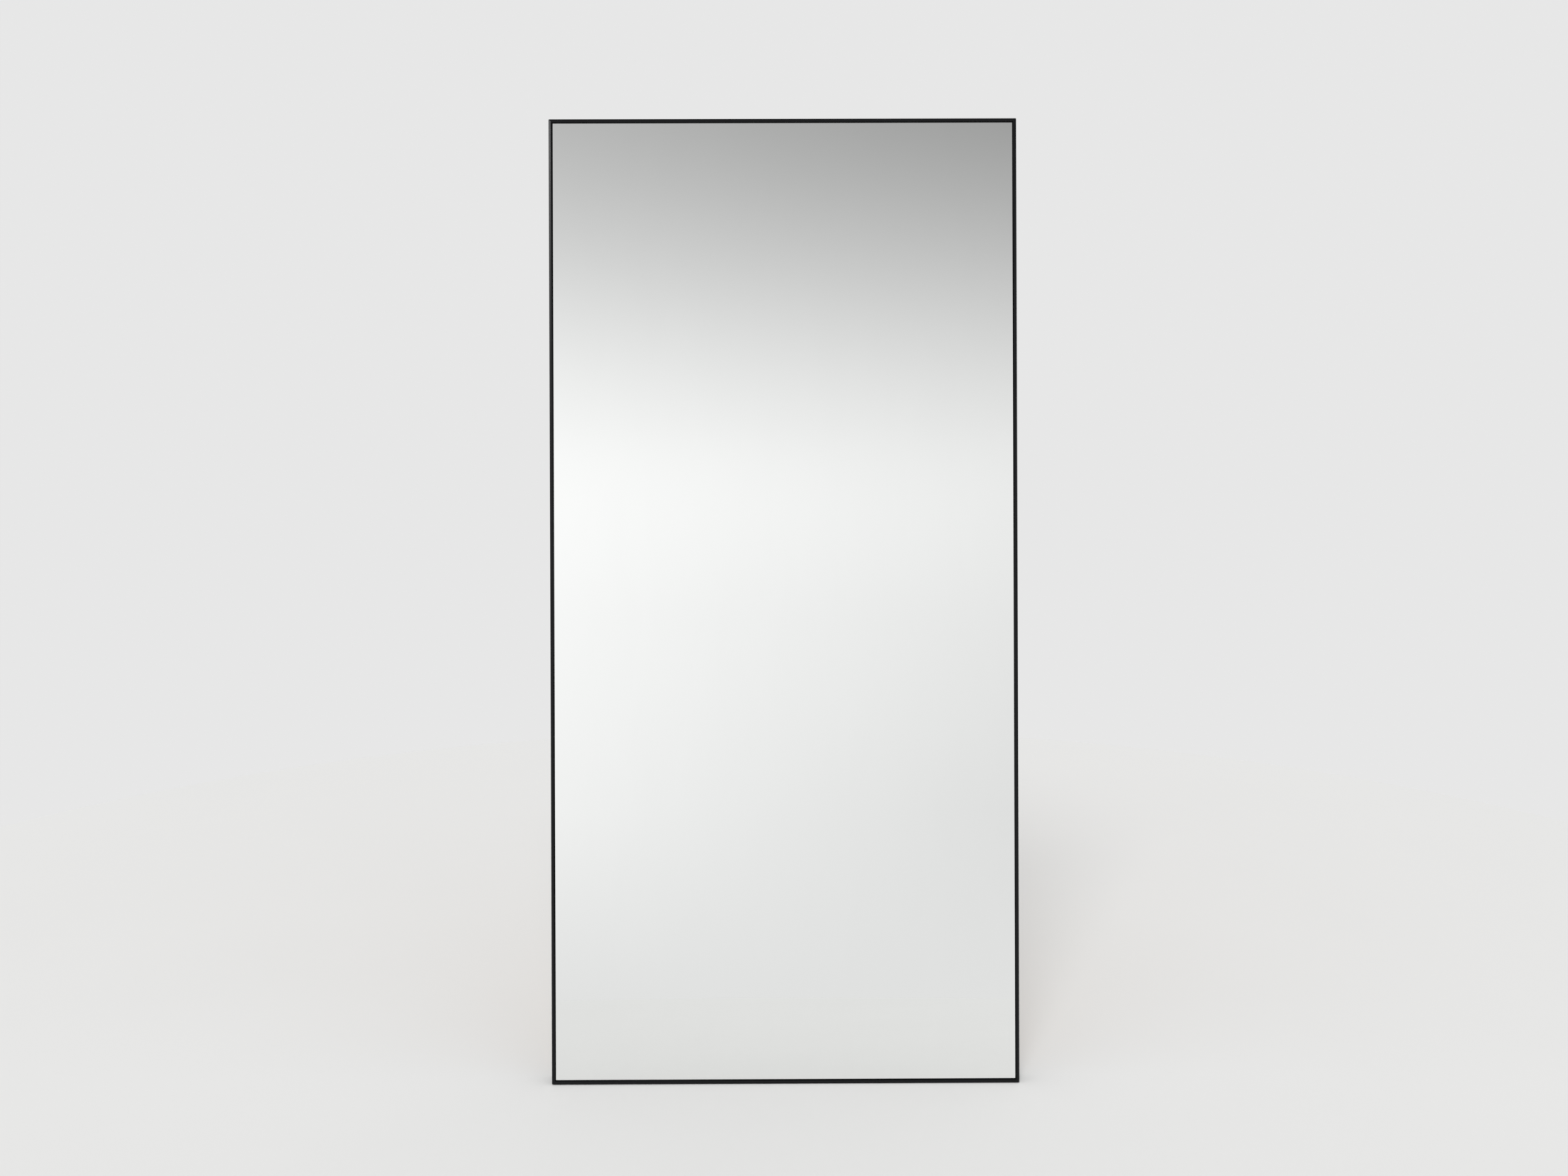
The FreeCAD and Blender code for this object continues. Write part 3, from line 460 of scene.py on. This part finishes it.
def turned_shape(outline, facets, is_bored=False):
    """A shape of revolution about Z through (radius, height) points. It is closed at both ends,
    or, where it is bored, its outline runs back to its first point."""
    shape = bmesh.new()
    rings = [[shape.verts.new((radius * cos(2 * pi * turn / facets),
                               radius * sin(2 * pi * turn / facets), height))
              for turn in range(facets)] for radius, height in outline]
    for upper, lower in zip(rings, rings[1:] + (rings[:1] if is_bored else [])):
        for turn in range(facets):
            after = (turn + 1) % facets
            shape.faces.new((upper[turn], lower[turn], lower[after], upper[after]))
    if not is_bored:
        shape.faces.new(rings[0])
        shape.faces.new(reversed(rings[-1]))
    bmesh.ops.recalc_face_normals(shape, faces=shape.faces)
    return shape


def thread(top, bottom):
    """The outline of a pointed thread from one height down to another."""
    turns = int((top - bottom) / THREAD_PITCH)
    outline = []
    for turn in range(turns):
        root = top - turn * THREAD_PITCH
        outline += [(SHANK_RADIUS - THREAD_DEPTH, root),
                    (SHANK_RADIUS, root - THREAD_PITCH / 2)]
    return outline + [(SHANK_RADIUS * 0.8, bottom + SHANK_RADIUS), (SHANK_RADIUS / 8, bottom)]


def shape_object(name, shape):
    """An object in the scene with the mesh of a shape."""
    mesh = bpy.data.meshes.new(name)
    shape.to_mesh(mesh)
    shape.free()
    made = bpy.data.objects.new(name, mesh)
    bpy.context.scene.collection.objects.link(made)
    return made


cross = [(RECESS_HALF, RECESS_HALF), (RECESS_REACH, RECESS_HALF), (RECESS_REACH, -RECESS_HALF)]
recess_outline = [Matrix.Rotation(-pi / 2 * arm, 2) @ Vector(corner)
                  for arm in range(4) for corner in cross]
shape = bmesh.new()
mouth = [shape.verts.new((*corner, RECESS_DEPTH)) for corner in recess_outline]
foot = [shape.verts.new((*(corner * RECESS_TAPER), -RECESS_DEPTH)) for corner in recess_outline]
for turn in range(len(mouth)):
    after = (turn + 1) % len(mouth)
    shape.faces.new((mouth[turn], foot[turn], foot[after], mouth[after]))
shape.faces.new(mouth)
shape.faces.new(reversed(foot))
bmesh.ops.recalc_face_normals(shape, faces=shape.faces)
recess = shape_object("screw_recess", shape)


def screw_pattern(name, head, thread_top, tip):
    """One screw with its cross recess cut, for the node tree to repeat."""
    screw = shape_object(name, turned_shape(head + thread(thread_top, tip), SCREW_FACETS))
    cut = screw.modifiers.new("recess", "BOOLEAN")
    cut.operation, cut.solver, cut.object = "DIFFERENCE", "EXACT", recess
    screw.data, made = settled_mesh(screw), screw.data
    screw.modifiers.clear()
    bpy.data.meshes.remove(made)
    screw.data.shade_smooth()
    screw.data.set_sharp_from_angle(angle=SMOOTH_ANGLE)
    return screw


# The node tree sets a screw on every point, along the point's own axis, each turned by chance
# as a driver leaves it.
screw_tree = bpy.data.node_groups.new("drive_screws", "GeometryNodeTree")
for name, kind in (("Geometry", "NodeSocketGeometry"), ("Screw", "NodeSocketObject"),
                   ("Size", "NodeSocketFloat"), ("Turn seed", "NodeSocketInt"),
                   ("Finish", "NodeSocketMaterial")):
    screw_tree.interface.new_socket(name, in_out="INPUT", socket_type=kind)
screw_tree.interface.new_socket("Geometry", in_out="OUTPUT", socket_type="NodeSocketGeometry")
given = add_node(screw_tree, "NodeGroupInput").outputs
drawn_screw = add_node(screw_tree, "GeometryNodeObjectInfo", {"Object": given["Screw"]})
axis = add_node(screw_tree, "GeometryNodeInputNamedAttribute", {"Name": "axis"},
                data_type="FLOAT_VECTOR")
upright = add_node(screw_tree, "FunctionNodeAlignRotationToVector",
                   {"Vector": axis.outputs["Attribute"]}, axis="Z")
chance = add_node(screw_tree, "FunctionNodeRandomValue",
                  {2: 0.0, 3: 2 * pi, "Seed": given["Turn seed"]}, data_type="FLOAT")
spin = add_node(screw_tree, "FunctionNodeAxisAngleToRotation",
                {"Axis": (0.0, 0.0, 1.0), "Angle": chance.outputs[1]})
driven = add_node(screw_tree, "FunctionNodeRotateRotation",
                  {"Rotation": upright.outputs["Rotation"], "Rotate By": spin.outputs["Rotation"]},
                  rotation_space="LOCAL")
repeated = add_node(screw_tree, "GeometryNodeInstanceOnPoints", {
    "Points": given["Geometry"], "Instance": drawn_screw.outputs["Geometry"],
    "Rotation": driven.outputs["Rotation"], "Scale": given["Size"]})
real = add_node(screw_tree, "GeometryNodeRealizeInstances",
                {"Geometry": repeated.outputs["Instances"]})
coated = add_node(screw_tree, "GeometryNodeSetMaterial",
                  {"Geometry": real.outputs["Geometry"], "Material": given["Finish"]})
add_node(screw_tree, "NodeGroupOutput", {"Geometry": coated.outputs["Geometry"]})


def screw_tops(node, sideways):
    """The top of each screw of a CAD group, and the way its head faces."""
    shape = bmesh.new()
    shape.from_mesh(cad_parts[node].data)
    bmesh.ops.remove_doubles(shape, verts=shape.verts, dist=SAME_PLACE)
    waiting, tops = set(shape.verts), []
    while waiting:
        reached, fresh = set(), [waiting.pop()]
        while fresh:
            vert = fresh.pop()
            reached.add(vert)
            fresh += [edge.other_vert(vert) for edge in vert.link_edges
                      if edge.other_vert(vert) not in reached]
        waiting -= reached
        centre = sum((vert.co for vert in reached), Vector()) / len(reached)
        facing = Vector((-1 if centre.x > 0 else 1, 0, 0)) if sideways else TO_BACK
        height = max((vert.co - centre).dot(facing) for vert in reached)
        tops.append((centre + facing * height, facing))
    shape.free()
    return sorted(tops, key=lambda top: tuple(round(part, 4) for part in top[0]))


pan_screw = screw_pattern("pan_head_screw", PAN_HEAD, PAN_THREAD_TOP, PAN_SCREW_TIP)
short_sunk_screw = screw_pattern("short_sunk_screw", SUNK_HEAD, SUNK_THREAD_TOP, SHORT_SUNK_TIP)
long_sunk_screw = screw_pattern("long_sunk_screw", SUNK_HEAD, SUNK_THREAD_TOP, LONG_SUNK_TIP)

# Black-oxide steel, as on the screws in the black frame: a dark, slightly oily grey.
black_oxide, tree, shader, place = begin_material("black_oxide_steel")
worn = add_node(tree, "ShaderNodeTexNoise", {"Vector": place, "Scale": 900.0, "Detail": 3.0})
oxide = add_node(tree, "ShaderNodeMix", {"Factor": worn.outputs["Fac"], 6: linear("#17181a"),
                                         7: linear("#34353a")}, data_type="RGBA")
dulled = add_node(tree, "ShaderNodeMapRange", {"Value": worn.outputs["Fac"], "To Min": 0.3,
                                               "To Max": 0.5})
add_node(tree, shader, {"Base Color": oxide.outputs[2], "Metallic": 0.8,
                        "Roughness": dulled.outputs["Result"]})

for seed, (node, screw, finish, sideways) in enumerate((
        ("corner_screws", short_sunk_screw, black_oxide, False),
        ("batten_screws", long_sunk_screw, zinc_plate, False),
        ("bracket_wood_screws", pan_screw, zinc_plate, False),
        ("bracket_stile_screws", pan_screw, zinc_plate, True),
        ("hanger_screws", pan_screw, zinc_plate, False))):
    tops = screw_tops(node, sideways)
    points = bpy.data.meshes.new(f"{node}_points")
    points.from_pydata([top for top, _ in tops], [], [])
    axes = points.attributes.new("axis", "FLOAT_VECTOR", "POINT")
    axes.data.foreach_set("vector", [part for _, facing in tops for part in facing])
    group = bpy.data.objects.new(f"{node}_driven", points)
    bpy.context.scene.collection.objects.link(group)
    driving = group.modifiers.new("drive_screws", "NODES")
    driving.node_group = screw_tree
    inputs = {item.name: item.identifier for item in screw_tree.interface.items_tree
              if item.in_out == "INPUT"}
    for name, value in (("Screw", screw), ("Size", 1.0), ("Turn seed", seed), ("Finish", finish)):
        driving[inputs[name]] = value
    group.data = settled_mesh(group)
    group.modifiers.clear()
    settle_piece(group, None, [node])

for pattern in (recess, pan_screw, short_sunk_screw, long_sunk_screw):
    bpy.data.objects.remove(pattern)


# ---------------------------------------------------------------------------------------------
# D-rings. Each is a D of 3.2 mm steel wire, bent and butt-welded, zinc-plated like its strap.
# It swings in the curl of the strap, and hangs straight down from its own straight bar.

WIRE = 0.0032
RING_WIDTH, RING_DROP, RING_BEND = 0.023, 0.018, 0.003
BEND_STEPS, BOW_STEPS, WIRE_FACETS = 6, 28, 20


def arc(across, up, radius, first, last, steps):
    """Points of an arc about a centre, from one angle in degrees to another."""
    angles = [radians(first + (last - first) * step / steps) for step in range(steps + 1)]
    return [(across + radius * cos(angle), up + radius * sin(angle)) for angle in angles]


half = (RING_WIDTH - WIRE) / 2
bow_centre = half - RING_DROP
ring_line = (arc(half - RING_BEND, -RING_BEND, RING_BEND, 90, 0, BEND_STEPS)
             + arc(0, bow_centre, half, 0, -180, BOW_STEPS)
             + arc(RING_BEND - half, -RING_BEND, RING_BEND, 180, 90, BEND_STEPS))
for side in ("left", "right"):
    low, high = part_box(f"d_ring_{side}")
    hinge = Vector(((low.x + high.x) / 2, (low.y + high.y) / 2, high.z - WIRE / 2))
    shape = bmesh.new()
    sections = []
    for index, (across, up) in enumerate(ring_line):
        before, after = ring_line[index - 1], ring_line[(index + 1) % len(ring_line)]
        along = Vector((after[0] - before[0], 0, after[1] - before[1])).normalized()
        outward = along.cross(Vector((0, 1, 0)))
        centre = hinge + Vector((across, 0, up))
        sections.append([shape.verts.new(
            centre + WIRE / 2 * (cos(2 * pi * turn / WIRE_FACETS) * outward
                                 + sin(2 * pi * turn / WIRE_FACETS) * Vector((0, 1, 0))))
            for turn in range(WIRE_FACETS)])
    for index, section in enumerate(sections):
        following = sections[(index + 1) % len(sections)]
        for turn in range(WIRE_FACETS):
            after = (turn + 1) % WIRE_FACETS
            shape.faces.new((section[turn], section[after], following[after], following[turn]))
    bmesh.ops.recalc_face_normals(shape, faces=shape.faces)
    finish_piece(f"d_ring_{side}_wire", shape, zinc_plate, [f"d_ring_{side}"],
                 f"ring_{side}")


# ---------------------------------------------------------------------------------------------
# Tether inserts. Two M5 threaded inserts in the upper batten take the straps that keep the
# mirror from tipping. Each is turned from zinc alloy, with a flange that lies on the wood.

INSERT_PITCH = 0.0008
INSERT_BORE, INSERT_CREST = 0.0021, 0.0025
INSERT_BODY, INSERT_FLANGE, INSERT_RISE, INSERT_LENGTH = 0.0035, 0.005, 0.0008, 0.011
INSERT_BEVEL = 0.3 * INSERT_RISE
INSERT_FACETS = 32

for side in ("left", "right"):
    low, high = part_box(f"tether_insert_{side}")
    centre = (low + high) / 2 - TO_BACK * ((INSERT_RISE - INSERT_LENGTH) / 2)
    turns = int((INSERT_LENGTH + INSERT_RISE) / INSERT_PITCH)
    outline = [(INSERT_CREST, INSERT_RISE)]
    for turn in range(turns):
        top = INSERT_RISE - turn * INSERT_PITCH
        outline += [(INSERT_BORE, top - INSERT_PITCH / 2), (INSERT_CREST, top - INSERT_PITCH)]
    outline += [(INSERT_CREST, -INSERT_LENGTH), (INSERT_BODY, -INSERT_LENGTH),
                (INSERT_BODY, 0.0), (INSERT_FLANGE, 0.0),
                (INSERT_FLANGE, INSERT_RISE - INSERT_BEVEL),
                (INSERT_FLANGE - INSERT_BEVEL, INSERT_RISE)]
    shape = turned_shape(outline, INSERT_FACETS, is_bored=True)
    toward_back = Vector((0, 0, 1)).rotation_difference(TO_BACK).to_matrix().to_4x4()
    shape.transform(Matrix.Translation(centre) @ toward_back)
    finish_piece(f"tether_insert_{side}_threaded", shape, zinc_casting,
                 [f"tether_insert_{side}"])


# ---------------------------------------------------------------------------------------------
# Rubber. Two pads under the bottom rail stand on the floor, and two discs on the top rail rest
# on the wall.

MOULDED_EDGE = 0.00015

# Moulded rubber: soft black with a dry bloom that lifts it to charcoal in places.
moulded_rubber, tree, shader, place = begin_material("moulded_black_rubber")
bloom = add_node(tree, "ShaderNodeTexNoise", {"Vector": place, "Scale": 120.0, "Detail": 6.0})
charcoal = add_node(tree, "ShaderNodeMix", {"Factor": bloom.outputs["Fac"],
                                            6: linear("#101010"), 7: linear("#262626")},
                    data_type="RGBA")
grain = add_node(tree, "ShaderNodeTexNoise", {"Vector": place, "Scale": 1600.0, "Detail": 2.0})
texture = add_node(tree, "ShaderNodeBump", {"Height": grain.outputs["Fac"], "Strength": 0.4,
                                            "Distance": 0.0001})
add_node(tree, shader, {"Base Color": charcoal.outputs[2], "Roughness": 0.72,
                        "Normal": texture.outputs["Normal"], "Specular IOR Level": 0.3})

for node in ("floor_pad_left", "floor_pad_right", "wall_bumper_left", "wall_bumper_right"):
    shape = merged_copy(node)
    ease(shape, sharp_edges(shape), MOULDED_EDGE, 2)
    finish_piece(f"{node}_moulded", shape, moulded_rubber, [node])


# ---------------------------------------------------------------------------------------------
# Floor. A plain, pale, round studio floor, which is no part of the mirror. Its far edge fades
# into a backdrop of its own tone.

FLOOR_RADIUS = 2.8
FLOOR_FACETS = 96

shape = bmesh.new()
bmesh.ops.create_circle(shape, cap_ends=True, radius=FLOOR_RADIUS, segments=FLOOR_FACETS)
floor = shape_object("floor", shape)

# Matt floor paint: a soft off-white, with faint clouds where the roller went over twice.
floor_paint, tree, shader, place = begin_material("matt_floor_paint")
worn = add_node(tree, "ShaderNodeTexNoise", {"Vector": place, "Scale": 2.0, "Detail": 5.0})
pale = add_node(tree, "ShaderNodeMix", {"Factor": worn.outputs["Fac"], 6: linear("#eeeeed"),
                                        7: linear("#f0f0ef")}, data_type="RGBA")
add_node(tree, shader, {"Base Color": pale.outputs[2], "Roughness": 1.0,
                        "Specular IOR Level": 0.0})
floor.data.materials.append(floor_paint)


# ---------------------------------------------------------------------------------------------
# Light. Even studio light from all round and a broad key high in front. Polished surfaces see
# a soft studio wall that is brightest near eye level and darkens toward the ceiling.

AROUND = 0.65
BACKGROUND = 0.80
WHITE = (1.0, 1.0, 1.0, 1.0)
KEY_TOWARD = Vector((0.12, 1.0, -1.2))
KEY_STRENGTH, KEY_SPREAD = 1.15, radians(24)

key = bpy.data.lights.new("key", "SUN")
key.energy = KEY_STRENGTH
key.angle = KEY_SPREAD
key_lamp = bpy.data.objects.new("key", key)
key_lamp.rotation_euler = KEY_TOWARD.to_track_quat("-Z", "Y").to_euler()
key_lamp.visible_glossy = False
bpy.context.scene.collection.objects.link(key_lamp)

# A small lamp high on the left draws the thin line of light down the left side's crown. It
# lights only that side, so the glass, the other sides and the floor keep their even tone.
SPOT_PLACE = Vector((-1.05, -3.185, 3.49))
SPOT_SIZE, SPOT_POWER = 0.2, 100.0
spot = bpy.data.lights.new("frame_light", "AREA")
spot.shape = "DISK"
spot.size = SPOT_SIZE
spot.energy = SPOT_POWER
spot_lamp = bpy.data.objects.new("frame_light", spot)
spot_lamp.location = SPOT_PLACE
spot_lamp.rotation_euler = (middle - SPOT_PLACE).to_track_quat("-Z", "Y").to_euler()
spot_lamp.visible_camera = False
spot_lamp.visible_diffuse = False
bpy.context.scene.collection.objects.link(spot_lamp)
lit_by_spot = bpy.data.collections.new("left_side")
lit_by_spot.objects.link(coated_sides["left_stile"])
spot_lamp.light_linking.receiver_collection = lit_by_spot

world = bpy.data.worlds.new("studio")
bpy.context.scene.world = world
world.use_nodes = True
tree = world.node_tree
way = add_node(tree, "ShaderNodeTexCoord").outputs["Generated"]
parts = add_node(tree, "ShaderNodeSeparateXYZ", {"Vector": way}).outputs

# What a polished surface sees of the studio, as degrees above the horizon and brightness: an
# evenly lit wall, a darker stretch above it, and the light ceiling. All of it is a little
# brighter on the left than on the right, except at the floor.
STUDIO_WALL = ((-4, 0.80), (8, 0.92), (14, 0.90), (22, 0.48), (30, 0.42), (50, 0.70))
LOWEST, HIGHEST = sin(radians(-8)), sin(radians(65))
FLOOR_LINE, CLEAR_OF_FLOOR = sin(radians(-4)), sin(radians(2))
SIDE_REACH, SIDE_CHANGE = 0.2, 0.12
height = add_node(tree, "ShaderNodeMapRange", {"Value": parts["Z"], "From Min": LOWEST,
                                               "From Max": HIGHEST})
wall = add_node(tree, "ShaderNodeValToRGB", {"Fac": height.outputs["Result"]})
wall.color_ramp.interpolation = "CARDINAL"
stops = wall.color_ramp.elements
while len(stops) < len(STUDIO_WALL):
    stops.new(1.0)
for stop, (degrees_up, brightness) in zip(stops, STUDIO_WALL):
    stop.position = (sin(radians(degrees_up)) - LOWEST) / (HIGHEST - LOWEST)
    stop.color = (brightness, brightness, brightness, 1.0)
sideways = add_node(tree, "ShaderNodeMapRange", {
    "Value": parts["X"], "From Min": -SIDE_REACH, "From Max": SIDE_REACH,
    "To Min": SIDE_CHANGE, "To Max": -SIDE_CHANGE})
above_floor = add_node(tree, "ShaderNodeMapRange", {
    "Value": parts["Z"], "From Min": FLOOR_LINE, "From Max": CLEAR_OF_FLOOR})
seen = add_node(tree, "ShaderNodeMath", {0: sideways.outputs["Result"],
                                         1: above_floor.outputs["Result"],
                                         2: wall.outputs["Color"]},
                operation="MULTIPLY_ADD").outputs["Value"]
rays = add_node(tree, "ShaderNodeLightPath").outputs
lit = add_node(tree, "ShaderNodeBackground", {"Color": WHITE, "Strength": AROUND})
reflected = add_node(tree, "ShaderNodeBackground", {"Color": WHITE, "Strength": seen})
backdrop = add_node(tree, "ShaderNodeBackground", {"Color": WHITE, "Strength": BACKGROUND})
straight = add_node(tree, "ShaderNodeMath", {0: rays["Is Camera Ray"],
                                             1: rays["Is Transmission Ray"]},
                    operation="MAXIMUM")
mirrored = add_node(tree, "ShaderNodeMixShader", {"Fac": rays["Is Glossy Ray"],
                                                  1: lit.outputs["Background"],
                                                  2: reflected.outputs["Background"]})
shown = add_node(tree, "ShaderNodeMixShader", {"Fac": straight.outputs["Value"],
                                               1: mirrored.outputs["Shader"],
                                               2: backdrop.outputs["Background"]})
add_node(tree, tree.nodes["World Output"], {"Surface": shown.outputs["Shader"]})


# ---------------------------------------------------------------------------------------------
# Camera. It stands about 3.5 m in front of the mirror at eye level, and looks a little down on
# it. Its focal length is in millimetres, for a sensor 36 mm wide.

SENSOR_WIDTH, FOCAL_LENGTH = 36.0, 42.35
FURTHEST_SEEN = 200.0
EYE = Vector((-0.0169, -3.5788, 1.5249))
YAW, PITCH, ROLL = radians(0.269), radians(-9.042), radians(-0.159)

view = bpy.data.cameras.new("camera")
view.sensor_width = SENSOR_WIDTH
view.sensor_fit = "HORIZONTAL"
view.lens = FOCAL_LENGTH
view.clip_end = FURTHEST_SEEN
ahead = Vector((sin(YAW) * cos(PITCH), cos(YAW) * cos(PITCH), sin(PITCH)))
right = Vector((cos(YAW), -sin(YAW), 0))
upward = right.cross(ahead)
across = right * cos(ROLL) + upward * sin(ROLL)
up = -right * sin(ROLL) + upward * cos(ROLL)
camera = bpy.data.objects.new("camera", view)
camera.matrix_world = Matrix.Translation(EYE) @ Matrix((across, up, -ahead)).transposed().to_4x4()
bpy.context.scene.collection.objects.link(camera)
bpy.context.scene.camera = camera
bpy.context.scene.view_settings.view_transform = "Standard"

bpy.context.view_layer.update()
